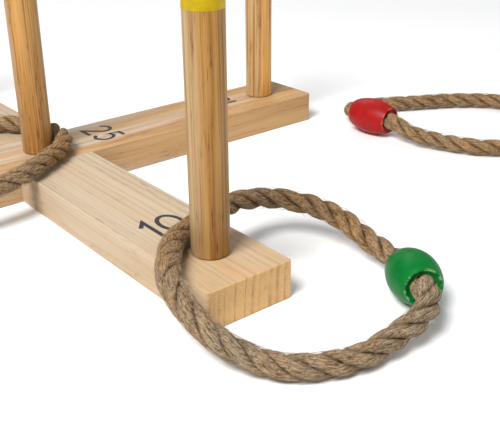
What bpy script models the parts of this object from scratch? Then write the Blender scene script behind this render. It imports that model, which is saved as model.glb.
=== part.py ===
"""Ring toss set: a half-lapped wooden cross, five screw-in pegs and three rope rings.

Units are metres and +Z is up. The origin is on the ground under the middle of the cross.
The lower board runs along Y, the upper board along X, and both stand on the ground.
"""

import math

import bmesh
import bpy
from mathutils import Vector

# Clearance kept between neighbouring pieces
GAP = 0.0003

# Cross
BOARD_LENGTH = 0.500
BOARD_WIDTH = 0.058
BOARD_THICKNESS = 0.024
BOARD_EDGE_RADIUS = 0.0012
LOWER_CORNER_RADIUS = 0.002
UPPER_CORNER_RADIUS = 0.004
PEG_SPACING = 0.214
LAP_HEIGHT = BOARD_THICKNESS / 2

# Pegs
PEG_RADIUS = 0.0111
PEG_HEIGHT = 0.170
PEG_FOOT_RADIUS = 0.0008
PEG_TOP_RADIUS = 0.003
PAINT_LINE_HEIGHT = 0.134
PAINT_GROOVE_DEPTH = 0.0004
PAINT_GROOVE_WIDTH = 0.0008

# Threaded studs, and the threaded inserts they screw into
STUD_RADIUS = 0.004
STUD_CHAMFER = 0.0008
STUD_IN_PEG = 0.025
STUD_BELOW_PEG = 0.018
CENTRE_STUD_BELOW_PEG = 0.021
INSERT_RADIUS = 0.006
INSERT_BORE_RADIUS = STUD_RADIUS + GAP
INSERT_LENGTH = 0.0145
CENTRE_INSERT_LENGTH = 0.0085
INSERT_DEPTH = 0.001
INSERT_CHAMFER = 0.0005
HOLE_END_ROOM = 0.001

# Rope rings
ROPE_RADIUS = 0.0068
ROPE_STEP = 0.0075
ROPE_BEVEL_RESOLUTION = 3
SPLINE_STEPS = 24
BEAD_HALF_LENGTH = 0.0165
BEAD_RADIUS = 0.0146
BEAD_END_RADIUS = 0.0107
BEAD_FULLNESS = 0.75
BEAD_BORE_RADIUS = 0.0076
BEAD_MOUTH_RADIUS = 0.0099
BEAD_MOUTH_DEPTH = 0.003
BEAD_RIM_RADIUS = 0.0005

# Points along the rope's axis inside and just outside the bead, from the bead's middle
BEAD_STATIONS = (-0.008, -0.001, 0.006, 0.013, 0.019)

ROUND_STEPS = 32
SMALL_ROUND_STEPS = 24
HOLE_STEPS = 24
ARC_STEPS = 3
BEAD_SIDE_STEPS = 5
SMOOTH_ANGLE = math.radians(35)
EASED_EDGE_ANGLE = math.radians(60)

# Each peg's name and the place of its axis on the cross
PEG_PLACES = {
    "front": (0.0, -PEG_SPACING),
    "back": (0.0, PEG_SPACING),
    "left": (-PEG_SPACING, 0.0),
    "right": (PEG_SPACING, 0.0),
    "centre": (0.0, 0.0),
}

# A ring leaves one end of its bead, follows its route and comes back into the other end.
# "bead" is the middle of the bead. "heading" is the angle of its bore about Z, and "tilt" how far the
# end that the rope leaves is raised, both in degrees.
RINGS = {
    # Leans on the front peg's board, with its bead on the ground
    "green": {
        "bead": (0.0776, -0.2949, 0.0151),
        "heading": -120.6,
        "tilt": 7.0,
        "route": (
            (0.058, -0.325, 0.0165),
            (0.026, -0.323, 0.008),
            (0.006, -0.323, 0.007),
            (-0.012, -0.315, 0.007),
            (-0.025, -0.306, 0.007),
            (-0.033, -0.295, 0.0085),
            (-0.043, -0.277, 0.0135),
            (-0.047, -0.258, 0.0235),
            (-0.045, -0.236, 0.031),
            (-0.032, -0.219, 0.032),
            (-0.019, -0.203, 0.0315),
            (-0.005, -0.1945, 0.031),
            (0.020, -0.188, 0.032),
            (0.046, -0.176, 0.030),
            (0.078, -0.185, 0.0265),
            (0.094, -0.221, 0.022),
            (0.091, -0.247, 0.0145),
            (0.092, -0.268, 0.0115),
        ),
    },
    # Lies flat on the ground beside the cross
    "red": {
        "bead": (0.2651, -0.0906, 0.0148),
        "heading": -86.1,
        "tilt": 0.0,
        "route": (
            (0.266, -0.118, 0.0135),
            (0.266, -0.135, 0.009),
            (0.276, -0.157, 0.0075),
            (0.285, -0.180, 0.007),
            (0.303, -0.197, 0.007),
            (0.326, -0.204, 0.007),
            (0.349, -0.200, 0.007),
            (0.371, -0.190, 0.007),
            (0.390, -0.174, 0.007),
            (0.404, -0.152, 0.007),
            (0.403, -0.126, 0.0075),
            (0.388, -0.104, 0.007),
            (0.368, -0.087, 0.007),
            (0.345, -0.075, 0.007),
            (0.323, -0.063, 0.0075),
            (0.302, -0.049, 0.007),
            (0.279, -0.051, 0.0085),
            (0.266, -0.062, 0.0135),
        ),
    },
    # Lies on the cross round the centre peg
    "blue": {
        "bead": (-0.119, 0.006, 0.0389),
        "heading": -93.0,
        "tilt": 0.0,
        "route": (
            (-0.121, -0.033, 0.038),
            (-0.113, -0.051, 0.032),
            (-0.098, -0.060, 0.0285),
            (-0.079, -0.062, 0.0275),
            (-0.058, -0.060, 0.0295),
            (-0.035, -0.055, 0.031),
            (-0.014, -0.041, 0.032),
            (0.006, -0.028, 0.0315),
            (0.0175, -0.011, 0.031),
            (0.0205, 0.007, 0.031),
            (0.0165, 0.026, 0.0315),
            (0.007, 0.044, 0.0315),
            (-0.008, 0.060, 0.0315),
            (-0.029, 0.073, 0.032),
            (-0.054, 0.083, 0.0285),
            (-0.082, 0.084, 0.0275),
            (-0.106, 0.071, 0.0315),
            (-0.117, 0.048, 0.038),
        ),
    },
}


def clear_scene():
    for obj in list(bpy.data.objects):
        bpy.data.objects.remove(obj, do_unlink=True)


def make_material(name, colour, roughness, metallic=0.0):
    material = bpy.data.materials.new(name)
    material.use_nodes = True
    shader = material.node_tree.nodes["Principled BSDF"]
    shader.inputs["Base Color"].default_value = (*colour, 1.0)
    shader.inputs["Roughness"].default_value = roughness
    shader.inputs["Metallic"].default_value = metallic
    return material


def add_object(name, data, material=None):
    obj = bpy.data.objects.new(name, data)
    bpy.context.scene.collection.objects.link(obj)
    if material is not None:
        data.materials.append(material)
    return obj


def add_empty(name, place):
    empty = add_object(name, None)
    empty.location = place
    empty.empty_display_size = 0.02
    return empty


def mesh_from(name, bm):
    bmesh.ops.recalc_face_normals(bm, faces=bm.faces)
    mesh = bpy.data.meshes.new(name)
    bm.to_mesh(mesh)
    bm.free()
    return mesh


def arc(centre, radius, start, end, steps=ARC_STEPS):
    """Points of an arc about centre, from the start angle to the end angle in degrees."""
    points = []
    for i in range(steps + 1):
        angle = math.radians(start + (end - start) * i / steps)
        points.append((centre[0] + radius * math.cos(angle), centre[1] + radius * math.sin(angle)))
    return points


def turned_mesh(name, profile, steps):
    """A closed solid of revolution about Z from a closed outline of (radius, height) points."""
    bm = bmesh.new()
    verts = [bm.verts.new((radius, 0.0, height)) for radius, height in profile]
    edges = [bm.edges.new((a, b)) for a, b in zip(verts, verts[1:])]
    if profile[0][0] > 0.0:
        edges.append(bm.edges.new((verts[-1], verts[0])))
    bmesh.ops.spin(
        bm,
        geom=verts + edges,
        cent=(0.0, 0.0, 0.0),
        axis=(0.0, 0.0, 1.0),
        angle=2 * math.pi,
        steps=steps,
        use_merge=True,
    )
    bmesh.ops.remove_doubles(bm, verts=bm.verts, dist=1e-6)
    mesh = mesh_from(name, bm)
    mesh.shade_smooth()
    mesh.set_sharp_from_angle(angle=SMOOTH_ANGLE)
    return mesh


def box_mesh(name, low, high):
    bm = bmesh.new()
    bmesh.ops.create_cube(bm, size=1.0)
    low, high = Vector(low), Vector(high)
    for vert in bm.verts:
        vert.co = Vector(a + (b - a) * (c + 0.5) for a, b, c in zip(low, high, vert.co))
    return mesh_from(name, bm)


def cut(target, name, mesh, place=(0.0, 0.0, 0.0)):
    """Takes the cutter's shape out of the target, and keeps the cutter as a hidden helper."""
    cutter = add_object(name, mesh)
    cutter.location = place
    cutter.hide_render = True
    cutter.display_type = "WIRE"
    modifier = target.modifiers.new(name, "BOOLEAN")
    modifier.operation = "DIFFERENCE"
    modifier.solver = "EXACT"
    modifier.object = cutter


def hole_mesh(name, radius, bottom, top):
    """A round cutter from bottom to top."""
    profile = ((0.0, bottom), (radius, bottom), (radius, top), (0.0, top))
    return turned_mesh(name, profile, HOLE_STEPS)


def board_blank(name, along_x, corner_radius, material):
    """A board with rounded end corners and eased edges, centred on the cross."""
    half_x = (BOARD_LENGTH if along_x else BOARD_WIDTH) / 2
    half_y = (BOARD_WIDTH if along_x else BOARD_LENGTH) / 2
    outline = []
    for sign_x, sign_y, start in ((1, 1, 0), (-1, 1, 90), (-1, -1, 180), (1, -1, 270)):
        centre = (sign_x * (half_x - corner_radius), sign_y * (half_y - corner_radius))
        outline += arc(centre, corner_radius, start, start + 90)
    bm = bmesh.new()
    face = bm.faces.new([bm.verts.new((x, y, 0.0)) for x, y in outline])
    top = bmesh.ops.extrude_face_region(bm, geom=[face])
    top_verts = [item for item in top["geom"] if isinstance(item, bmesh.types.BMVert)]
    bmesh.ops.translate(bm, verts=top_verts, vec=(0.0, 0.0, BOARD_THICKNESS))
    board = add_object(name, mesh_from(name, bm), material)
    bevel = board.modifiers.new("Eased edges", "BEVEL")
    bevel.width = BOARD_EDGE_RADIUS
    bevel.segments = 2
    bevel.limit_method = "ANGLE"
    bevel.angle_limit = EASED_EDGE_ANGLE
    return board


def insert_span(peg_name):
    """The bottom and top of the threaded insert that holds this peg."""
    if peg_name == "centre":
        top = LAP_HEIGHT - GAP - INSERT_CHAMFER
        return top - CENTRE_INSERT_LENGTH, top
    top = BOARD_THICKNESS - INSERT_DEPTH
    return top - INSERT_LENGTH, top


def stud_drop(peg_name):
    return CENTRE_STUD_BELOW_PEG if peg_name == "centre" else STUD_BELOW_PEG


def cut_insert_hole(board, peg_name):
    bottom = min(insert_span(peg_name)[0], BOARD_THICKNESS + GAP - stud_drop(peg_name)) - HOLE_END_ROOM
    name = "cut_insert_hole_" + peg_name
    mesh = hole_mesh(name, INSERT_RADIUS + GAP, bottom, 2 * BOARD_THICKNESS)
    cut(board, name, mesh, (*PEG_PLACES[peg_name], 0.0))


def make_lower_board(material):
    board = board_blank("lower_board", False, LOWER_CORNER_RADIUS, material)
    half_notch = BOARD_WIDTH / 2 + GAP
    low = (-BOARD_WIDTH, -half_notch, LAP_HEIGHT - GAP / 2)
    high = (BOARD_WIDTH, half_notch, 2 * BOARD_THICKNESS)
    cut(board, "cut_lower_notch", box_mesh("cut_lower_notch", low, high))
    for peg_name in ("front", "back", "centre"):
        cut_insert_hole(board, peg_name)
    return board


def make_upper_board(material):
    board = board_blank("upper_board", True, UPPER_CORNER_RADIUS, material)
    half_notch = BOARD_WIDTH / 2 + GAP
    low = (-half_notch, -BOARD_WIDTH, -BOARD_THICKNESS)
    high = (half_notch, BOARD_WIDTH, LAP_HEIGHT + GAP / 2)
    cut(board, "cut_upper_notch", box_mesh("cut_upper_notch", low, high))
    for peg_name in ("left", "right"):
        cut_insert_hole(board, peg_name)
    mesh = hole_mesh("cut_stud_passage", STUD_RADIUS + 2 * GAP, -BOARD_THICKNESS, 2 * BOARD_THICKNESS)
    cut(board, "cut_stud_passage", mesh)
    return board


def peg_profile():
    """Half section of a peg, from the top of its stud bore round to the middle of its top."""
    bore_radius = STUD_RADIUS + GAP
    bore_top = STUD_IN_PEG + 2 * GAP
    groove_half = PAINT_GROOVE_WIDTH / 2
    points = [(0.0, bore_top), (bore_radius, bore_top), (bore_radius, 0.0)]
    points += arc((PEG_RADIUS - PEG_FOOT_RADIUS, PEG_FOOT_RADIUS), PEG_FOOT_RADIUS, -90, 0, 2)
    points.append((PEG_RADIUS, PAINT_LINE_HEIGHT - groove_half))
    points.append((PEG_RADIUS - PAINT_GROOVE_DEPTH, PAINT_LINE_HEIGHT))
    points.append((PEG_RADIUS, PAINT_LINE_HEIGHT + groove_half))
    points += arc((PEG_RADIUS - PEG_TOP_RADIUS, PEG_HEIGHT - PEG_TOP_RADIUS), PEG_TOP_RADIUS, 0, 90)
    points.append((0.0, PEG_HEIGHT))
    return points


def stud_profile(drop):
    """Half section of a stud, with height 0 at the peg's foot."""
    tip = STUD_RADIUS - STUD_CHAMFER
    return (
        (0.0, -drop),
        (tip, -drop),
        (STUD_RADIUS, STUD_CHAMFER - drop),
        (STUD_RADIUS, STUD_IN_PEG - STUD_CHAMFER),
        (tip, STUD_IN_PEG),
        (0.0, STUD_IN_PEG),
    )


def insert_profile(length):
    """Closed section of a threaded insert, with height 0 at its lower end."""
    outer = INSERT_RADIUS - INSERT_CHAMFER
    return (
        (INSERT_BORE_RADIUS, 0.0),
        (outer, 0.0),
        (INSERT_RADIUS, INSERT_CHAMFER),
        (INSERT_RADIUS, length - INSERT_CHAMFER),
        (outer, length),
        (INSERT_BORE_RADIUS + INSERT_CHAMFER, length),
        (INSERT_BORE_RADIUS, length - INSERT_CHAMFER),
    )


def make_peg(peg_name, materials):
    """A peg and its stud on an empty at the peg's foot, and the insert in the board below."""
    x, y = PEG_PLACES[peg_name]
    pivot = add_empty("pivot_peg_" + peg_name, (x, y, BOARD_THICKNESS + GAP))
    peg_mesh = turned_mesh("peg_" + peg_name, peg_profile(), ROUND_STEPS)
    peg = add_object("peg_" + peg_name, peg_mesh, materials["peg"])
    stud_mesh = turned_mesh("stud_" + peg_name, stud_profile(stud_drop(peg_name)), SMALL_ROUND_STEPS)
    stud = add_object("stud_" + peg_name, stud_mesh, materials["steel"])
    for obj in (peg, stud):
        obj.parent = pivot
    bottom, top = insert_span(peg_name)
    insert_mesh = turned_mesh("insert_" + peg_name, insert_profile(top - bottom), SMALL_ROUND_STEPS)
    insert = add_object("insert_" + peg_name, insert_mesh, materials["brass"])
    insert.location = (x, y, bottom)


def bead_profile():
    """Closed section of a bead, height 0 at its middle: a bulging side and a bore that flares at its ends."""
    flat = BEAD_HALF_LENGTH - BEAD_RIM_RADIUS
    points = []
    for i in range(-BEAD_SIDE_STEPS, BEAD_SIDE_STEPS + 1):
        share = i / BEAD_SIDE_STEPS
        bulge = math.cos(share * math.pi / 2) ** BEAD_FULLNESS
        points.append((BEAD_END_RADIUS + (BEAD_RADIUS - BEAD_END_RADIUS) * bulge, share * flat))
    top = (
        (BEAD_END_RADIUS - BEAD_RIM_RADIUS, BEAD_HALF_LENGTH),
        (BEAD_MOUTH_RADIUS, BEAD_HALF_LENGTH),
        (BEAD_BORE_RADIUS, BEAD_HALF_LENGTH - BEAD_MOUTH_DEPTH),
    )
    points += top
    points += [(radius, -height) for radius, height in reversed(top)]
    return points


def ring_guide_points(ring):
    """The route with the straight stretch through the bead at each end."""
    centre = Vector(ring["bead"])
    heading = math.radians(ring["heading"])
    tilt = math.radians(ring["tilt"])
    level = math.cos(tilt)
    axis = Vector((math.cos(heading) * level, math.sin(heading) * level, math.sin(tilt)))
    start = [centre + axis * station for station in BEAD_STATIONS]
    end = [centre - axis * station for station in reversed(BEAD_STATIONS)]
    return start + [Vector(point) for point in ring["route"]] + end


def smooth_curve(guides):
    """Points of a uniform cubic B-spline, from the second guide point to the last but one."""
    points = []
    for a, b, c, d in zip(guides, guides[1:], guides[2:], guides[3:]):
        for i in range(SPLINE_STEPS):
            t = i / SPLINE_STEPS
            weight_a = (1 - t) ** 3
            weight_b = 3 * t**3 - 6 * t**2 + 4
            weight_c = -3 * t**3 + 3 * t**2 + 3 * t + 1
            points.append((a * weight_a + b * weight_b + c * weight_c + d * t**3) / 6)
    points.append((guides[-3] + guides[-2] * 4 + guides[-1]) / 6)
    return points


def even_points(points, step):
    """Points along the curve about one step apart, both ends included."""
    travelled = [0.0]
    for a, b in zip(points, points[1:]):
        travelled.append(travelled[-1] + (b - a).length)
    count = round(travelled[-1] / step)
    chosen = []
    index = 0
    for i in range(count + 1):
        wanted = travelled[-1] * i / count
        while index < len(points) - 2 and travelled[index + 1] < wanted:
            index += 1
        share = (wanted - travelled[index]) / (travelled[index + 1] - travelled[index])
        chosen.append(points[index].lerp(points[index + 1], share))
    return chosen


def make_rope(name, points, material):
    """A round rope along the points, which are relative to its parent."""
    curve = bpy.data.curves.new(name, "CURVE")
    curve.dimensions = "3D"
    curve.bevel_depth = ROPE_RADIUS
    curve.bevel_resolution = ROPE_BEVEL_RESOLUTION
    curve.use_fill_caps = True
    spline = curve.splines.new("POLY")
    spline.points.add(len(points) - 1)
    for spline_point, point in zip(spline.points, points):
        spline_point.co = (*point, 1.0)
    return add_object(name, curve, material)


def make_ring(colour, materials):
    """A rope with both its ends in one bead, on an empty on the line along which the ring lifts."""
    ring = RINGS[colour]
    route = even_points(smooth_curve(ring_guide_points(ring)), ROPE_STEP)
    middle = sum(route, Vector()) / len(route)
    middle.z = 0.0
    pivot = add_empty("pivot_ring_" + colour, middle)
    rope = make_rope("rope_" + colour, [point - middle for point in route], materials["rope"])
    bead_mesh = turned_mesh("bead_" + colour, bead_profile(), ROUND_STEPS)
    bead = add_object("bead_" + colour, bead_mesh, materials["bead_" + colour])
    bead.location = Vector(ring["bead"]) - middle
    bead.rotation_euler = (0.0, math.radians(90 - ring["tilt"]), math.radians(ring["heading"]))
    for obj in (rope, bead):
        obj.parent = pivot


def main():
    clear_scene()
    materials = {
        "lower": make_material("lower_board_pine", (0.68, 0.50, 0.29), 0.60),
        "upper": make_material("upper_board_pine", (0.60, 0.40, 0.22), 0.60),
        "peg": make_material("peg_wood", (0.50, 0.29, 0.11), 0.55),
        "steel": make_material("zinc_plated_steel", (0.60, 0.60, 0.62), 0.35, 1.0),
        "brass": make_material("insert_brass", (0.70, 0.52, 0.25), 0.35, 1.0),
        "rope": make_material("jute_rope", (0.30, 0.20, 0.11), 0.90),
        "bead_green": make_material("bead_paint_green", (0.01, 0.25, 0.05), 0.35),
        "bead_red": make_material("bead_paint_red", (0.60, 0.02, 0.02), 0.35),
        "bead_blue": make_material("bead_paint_blue", (0.02, 0.12, 0.50), 0.35),
    }
    make_lower_board(materials["lower"])
    make_upper_board(materials["upper"])
    for peg_name in PEG_PLACES:
        make_peg(peg_name, materials)
    for colour in RINGS:
        make_ring(colour, materials)


main()
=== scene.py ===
"""The looks of the ring toss set: ropes, beads, wood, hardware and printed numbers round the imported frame.

Units are metres. Every piece is made in the frame's own axes: +Z is up, the lower board lies along Y and
the upper one along X.
"""

import math
import random

import bpy
import numpy as np
from mathutils import Matrix, Vector


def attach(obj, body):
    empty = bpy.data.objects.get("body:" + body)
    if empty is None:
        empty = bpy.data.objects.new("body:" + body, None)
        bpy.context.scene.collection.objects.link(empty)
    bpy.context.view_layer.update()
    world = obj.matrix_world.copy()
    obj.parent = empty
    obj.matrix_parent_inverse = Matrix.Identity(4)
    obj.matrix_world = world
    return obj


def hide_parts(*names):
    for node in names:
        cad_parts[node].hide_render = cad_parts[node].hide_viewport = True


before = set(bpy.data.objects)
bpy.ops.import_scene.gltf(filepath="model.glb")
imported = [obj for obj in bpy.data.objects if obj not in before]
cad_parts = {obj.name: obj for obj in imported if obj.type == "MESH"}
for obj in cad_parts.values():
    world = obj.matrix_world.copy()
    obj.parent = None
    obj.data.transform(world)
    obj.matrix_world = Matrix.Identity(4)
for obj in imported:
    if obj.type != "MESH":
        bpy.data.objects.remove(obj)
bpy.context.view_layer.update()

# Camera, at the height and side of a person who stands over the front peg
CAMERA_PLACE = (-0.24595, -0.55138, 0.24150)
CAMERA_AZIMUTH = 37.253
CAMERA_ELEVATION = 24.664
CAMERA_ROLL = -1.311
CAMERA_LENS = 60.335
CAMERA_SHIFT = (0.0502, -0.0188)

# Rope: three strands, each a rounded third of the rope with a crown of its own
ROPE_RADIUS = 0.0068
ROPE_LAY = 0.045
STRANDS = 3
STRAND_SIDES = 40
STRAND_MIDDLE = 0.0033
CROWN_RADIUS = 0.0042
FELTED_CROWN_RADIUS = 0.0048
CROWN_REACH = 0.0069
STRAND_SHARPNESS = 9.0
STRAND_STEP = 0.0008
SPLINE_STEPS = 24
YARN_LAY = 0.030

# The rope is felted on the side of WOOL_STARTS_X where X is smaller
WOOL_STARTS_X = 0.005
WOOL_FADE = 0.030

# Bumps of a strand: height, length down the strand, and how many lie round it
COARSE_RELIEF = (0.00022, 0.006, 19)
FINE_RELIEF = (0.00012, 0.003, 31)
RELIEF_DROP = 0.0001
RELIEF_TOP = 0.00006

# Where along the rope the beads' mouths are, and how it swells to fill them
MOUTH_ALONG = 0.0190
MOUTH_SWELL = 0.20
MOUTH_SWELL_REACH = 0.0055

# Loose hairs of the rope
HAIRS = 3800
HAIR_BENDS = 6
HAIR_SIDES = 3
HAIR_LENGTH = (0.003, 0.010)
HAIR_THICKNESS = (0.00004, 0.00008)
HAIR_ROOT_SHARE = 0.965
HAIR_LIFT = 0.0007
HAIR_LIFT_LIMITS = (0.0001, 0.0035)
HAIR_WAVE = 0.0003
HAIR_FLOOR = 0.0002

# Boards
GAP = 0.0003
BOARD_LENGTH = 0.500
BOARD_WIDTH = 0.058
BOARD_THICKNESS = 0.024
BOARD_EDGE_RADIUS = 0.0009
LOWER_CORNER_RADIUS = 0.002
UPPER_CORNER_RADIUS = 0.004
LAP_HEIGHT = BOARD_THICKNESS / 2
NOTCH_ROOM = 0.0001

# Pegs, and the threaded studs and inserts that hold them
PEG_SPACING = 0.214
PEG_RADIUS = 0.0111
PEG_HEIGHT = 0.170
PEG_FOOT_RADIUS = 0.0008
PEG_TOP_RADIUS = 0.003
PEG_FOOT_Z = BOARD_THICKNESS + GAP
PAINT_LINE_HEIGHT = 0.1356
PAINT_THICKNESS = 0.00012
STUD_RADIUS = 0.004
STUD_IN_PEG = 0.025
STUD_BELOW_PEG = 0.018
CENTRE_STUD_BELOW_PEG = 0.021
STUD_TIP_SHARE = 0.8
THREAD_PITCH = 0.00125
THREAD_DEPTH = 0.0005
THREAD_ROWS_PER_PITCH = 6
THREAD_STEPS = 32
INSERT_RADIUS = 0.006
INSERT_BORE_RADIUS = STUD_RADIUS + GAP
INSERT_LENGTH = 0.0145
CENTRE_INSERT_LENGTH = 0.0085
INSERT_DEPTH = 0.001
INSERT_CHAMFER = 0.0005
HOLE_END_ROOM = 0.001
HOLE_STEPS = 64

# Turns in radians, which are also slides in metres, that give each peg its own stretch of wood and turn its
# side of painted sheen
PEG_TURNS = {"front": -0.93, "back": 0.4, "left": 1.3, "right": -1.3, "centre": -0.6}
PEG_STEPS = 96
PAINT_LINE_WAVE = 0.00013

# Printed numbers
DIGIT_HEIGHT = 0.0245
DIGIT_STROKE = 0.0029
DIGIT_SPACING = 0.0035
INK_THICKNESS = 0.00008

# Beads
BEAD_HALF_LENGTH = 0.0165
BEAD_RADIUS = 0.0146
BEAD_END_RADIUS = 0.0107
BEAD_FULLNESS = 0.75
SNUG_BORE_RADIUS = 0.00705
BEAD_MOUTH_RADIUS = 0.0099
BEAD_MOUTH_DEPTH = 0.0017
BEAD_RIM_RADIUS = 0.0005
BEAD_LIP_RADIUS = 0.0003
BEAD_MOUTH_SAG = 0.0003
BEAD_SIDE_STEPS = 24
MOUTH_STEPS = 6
BEAD_ROUND_STEPS = 96
RUB_WIDTH = 0.0015
BEAD_STATIONS = (-0.008, -0.001, 0.006, 0.013, 0.019)

# Each ring: its paint's wear, its rope's thickness, its bead's length and place, and the rope's way round
RINGS = {
    # Leans on the front peg's board, with its bead on the ground
    "green": {
        "wear": 0.9,
        "girth": 1.0,
        "bead_stretch": 1.0,
        "bead_shift": 0.0,
        "bead": (0.0776, -0.2949, 0.0151),
        "heading": -120.6,
        "tilt": 7.0,
        "route": (
            (0.058, -0.325, 0.0165), (0.026, -0.323, 0.008), (0.006, -0.323, 0.007),
            (-0.012, -0.315, 0.007), (-0.025, -0.306, 0.007), (-0.033, -0.295, 0.0085),
            (-0.043, -0.277, 0.0135), (-0.047, -0.258, 0.0235), (-0.045, -0.236, 0.031),
            (-0.032, -0.219, 0.032), (-0.019, -0.203, 0.0315), (-0.005, -0.1945, 0.031),
            (0.020, -0.188, 0.032), (0.046, -0.176, 0.030), (0.078, -0.185, 0.0265),
            (0.094, -0.221, 0.022), (0.091, -0.247, 0.0145), (0.092, -0.268, 0.0115),
        ),
    },
    # Lies flat on the ground beside the cross
    "red": {
        "wear": 0.5,
        "girth": 0.93,
        "bead_stretch": 1.10,
        "bead_shift": -0.0010,
        "bead": (0.2651, -0.0906, 0.0148),
        "heading": -86.1,
        "tilt": 0.0,
        "route": (
            (0.266, -0.118, 0.0135), (0.266, -0.135, 0.009), (0.276, -0.157, 0.0075),
            (0.285, -0.180, 0.007), (0.303, -0.197, 0.007), (0.326, -0.204, 0.007),
            (0.349, -0.200, 0.007), (0.371, -0.190, 0.007), (0.390, -0.174, 0.007),
            (0.404, -0.152, 0.007), (0.403, -0.126, 0.0075), (0.388, -0.104, 0.007),
            (0.368, -0.087, 0.007), (0.345, -0.075, 0.007), (0.323, -0.063, 0.0075),
            (0.302, -0.049, 0.007), (0.279, -0.051, 0.0085), (0.266, -0.062, 0.0135),
        ),
    },
    # Lies on the cross round the centre peg
    "blue": {
        "wear": 0.5,
        "girth": 1.0,
        "bead_stretch": 1.0,
        "bead_shift": 0.0,
        "bead": (-0.119, 0.006, 0.0389),
        "heading": -93.0,
        "tilt": 0.0,
        "route": (
            (-0.121, -0.033, 0.038), (-0.113, -0.051, 0.032), (-0.098, -0.060, 0.0285),
            (-0.079, -0.062, 0.0275), (-0.058, -0.060, 0.0295), (-0.035, -0.055, 0.031),
            (-0.014, -0.041, 0.032), (0.006, -0.028, 0.0315), (0.0175, -0.011, 0.031),
            (0.0205, 0.007, 0.031), (0.0165, 0.026, 0.0315), (0.007, 0.044, 0.0315),
            (-0.008, 0.060, 0.0315), (-0.029, 0.073, 0.032), (-0.054, 0.083, 0.0285),
            (-0.082, 0.084, 0.0275), (-0.106, 0.071, 0.0315), (-0.117, 0.048, 0.038),
        ),
    },
}

# Each peg's place on the cross, the paint on its top, and a scale on its wood's colour that is painted light:
# the far pegs lighter than the front one
PEGS = {
    "front": {"place": (0.0, -PEG_SPACING), "paint": "yellow", "painted_light_scale": 0.97},
    "back": {"place": (0.0, PEG_SPACING), "paint": "orange", "painted_light_scale": 1.2},
    "left": {"place": (-PEG_SPACING, 0.0), "paint": "blue", "painted_light_scale": 1.3},
    "right": {"place": (PEG_SPACING, 0.0), "paint": "green", "painted_light_scale": 1.38},
    "centre": {"place": (0.0, 0.0), "paint": "red", "painted_light_scale": 1.18},
}

# Each number: the left end of its base line, and the angle about Z at which it reads
NUMBERS = {
    "10": {"place": (-0.0143, -0.1800), "reads": 0.0},
    "5": {"place": (0.0060, 0.1800), "reads": 180.0},
    "20": {"place": (-0.1800, 0.0170), "reads": -90.0},
    "15": {"place": (0.1870, -0.0070), "reads": 90.0},
    "25": {"place": (0.0441, 0.0180), "reads": -90.0},
}

PAINTS = {
    "green": (0.0005, 0.150, 0.024),
    "red": (0.36, 0.010, 0.010),
    "blue": (0.006, 0.055, 0.28),
    "yellow": (0.55, 0.375, 0.001),
    "orange": (0.58, 0.13, 0.004),
}

# What wood_material is told about each wood
WOODS = {
    "lower_board_pine": {
        "turn": (0.0, 0.0, -math.pi / 2),
        "pith": (0.150, -0.004),
        "light": (0.495, 0.408, 0.300),
        "dark": (0.335, 0.200, 0.092),
        "patch": (0.520, 0.350, 0.190),
        "end": (0.740, 0.455, 0.190),
        "ring_gap": 0.0058,
        "wobble": 0.003,
        "weights": {"ring": 0.48, "streak": 0.16, "cloud": 0.14, "patch": 0.30, "band": 0.20, "fleck": 0.60},
        "warm_end": (-0.165, -0.250),
    },
    "upper_board_pine": {
        "turn": (0.0, 0.0, 0.0),
        "pith": (0.050, 0.085),
        "light": (0.545, 0.452, 0.345),
        "dark": (0.330, 0.155, 0.050),
        "patch": (0.540, 0.345, 0.160),
        "end": (0.500, 0.290, 0.115),
        "ring_gap": 0.0070,
        "wobble": 0.020,
        "weights": {"ring": 0.50, "streak": 0.14, "cloud": 0.42, "patch": 0.95, "band": 0.25, "fleck": 0.60},
        "warm_end": (0.050, 0.240),
    },
    "peg_wood": {
        "turn": (0.0, math.pi / 2, 0.0),
        "pith": (0.004, 0.021),
        "light": (0.545, 0.298, 0.078),
        "dark": (0.215, 0.080, 0.015),
        "patch": (0.430, 0.318, 0.165),
        "end": (0.34, 0.17, 0.05),
        "ring_gap": 0.0034,
        "wobble": 0.0035,
        "weights": {"ring": 0.42, "streak": 0.32, "cloud": 0.50, "patch": 0.50, "band": 0.80, "fleck": 0.80},
        # Painted sheen: the greyer patch colour laid across one side of each peg
        "painted_sheen_side": (0.006, 0.012),
        "local": True,
        "roughness": 0.42,
    },
}


# ---- node trees


def node(tree, kind, inputs=None, **settings):
    """Adds a shader node, with its inputs set to values or linked to sockets."""
    made = tree.nodes.new("ShaderNode" + kind)
    for name, value in settings.items():
        setattr(made, name, value)
    for name, value in (inputs or {}).items():
        if isinstance(value, bpy.types.NodeSocket):
            tree.links.new(value, made.inputs[name])
        else:
            made.inputs[name].default_value = value
    return made


def calc(tree, operation, a, b=0.0, clamp=False):
    return node(tree, "Math", {0: a, 1: b}, operation=operation, use_clamp=clamp).outputs[0]


def mixed(tree, factor, a, b):
    """Colour a turned towards colour b by the factor. A colour is a socket or three numbers."""
    a, b = (c if isinstance(c, bpy.types.NodeSocket) else (*c, 1.0) for c in (a, b))
    return node(tree, "Mix", {0: factor, 6: a, 7: b}, data_type="RGBA").outputs[2]


def ramp(tree, factor, *stops):
    """A black-to-white ramp through (position, brightness) stops."""
    made = node(tree, "ValToRGB", {0: factor})
    elements = made.color_ramp.elements
    while len(elements) < len(stops):
        elements.new(0.5)
    for element, (position, value) in zip(elements, stops):
        element.position = position
        element.color = (value, value, value, 1.0)
    return made.outputs[0]


def grain_noise(tree, place, along, across, detail=3.0, roughness=0.55):
    """Noise drawn out along X, with marks of about 1/along by 1/across metres."""
    scaled = node(tree, "Mapping", {"Vector": place, "Scale": (along, across, across)}).outputs[0]
    return noise(tree, scaled, 1.0, detail, Roughness=roughness)


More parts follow.
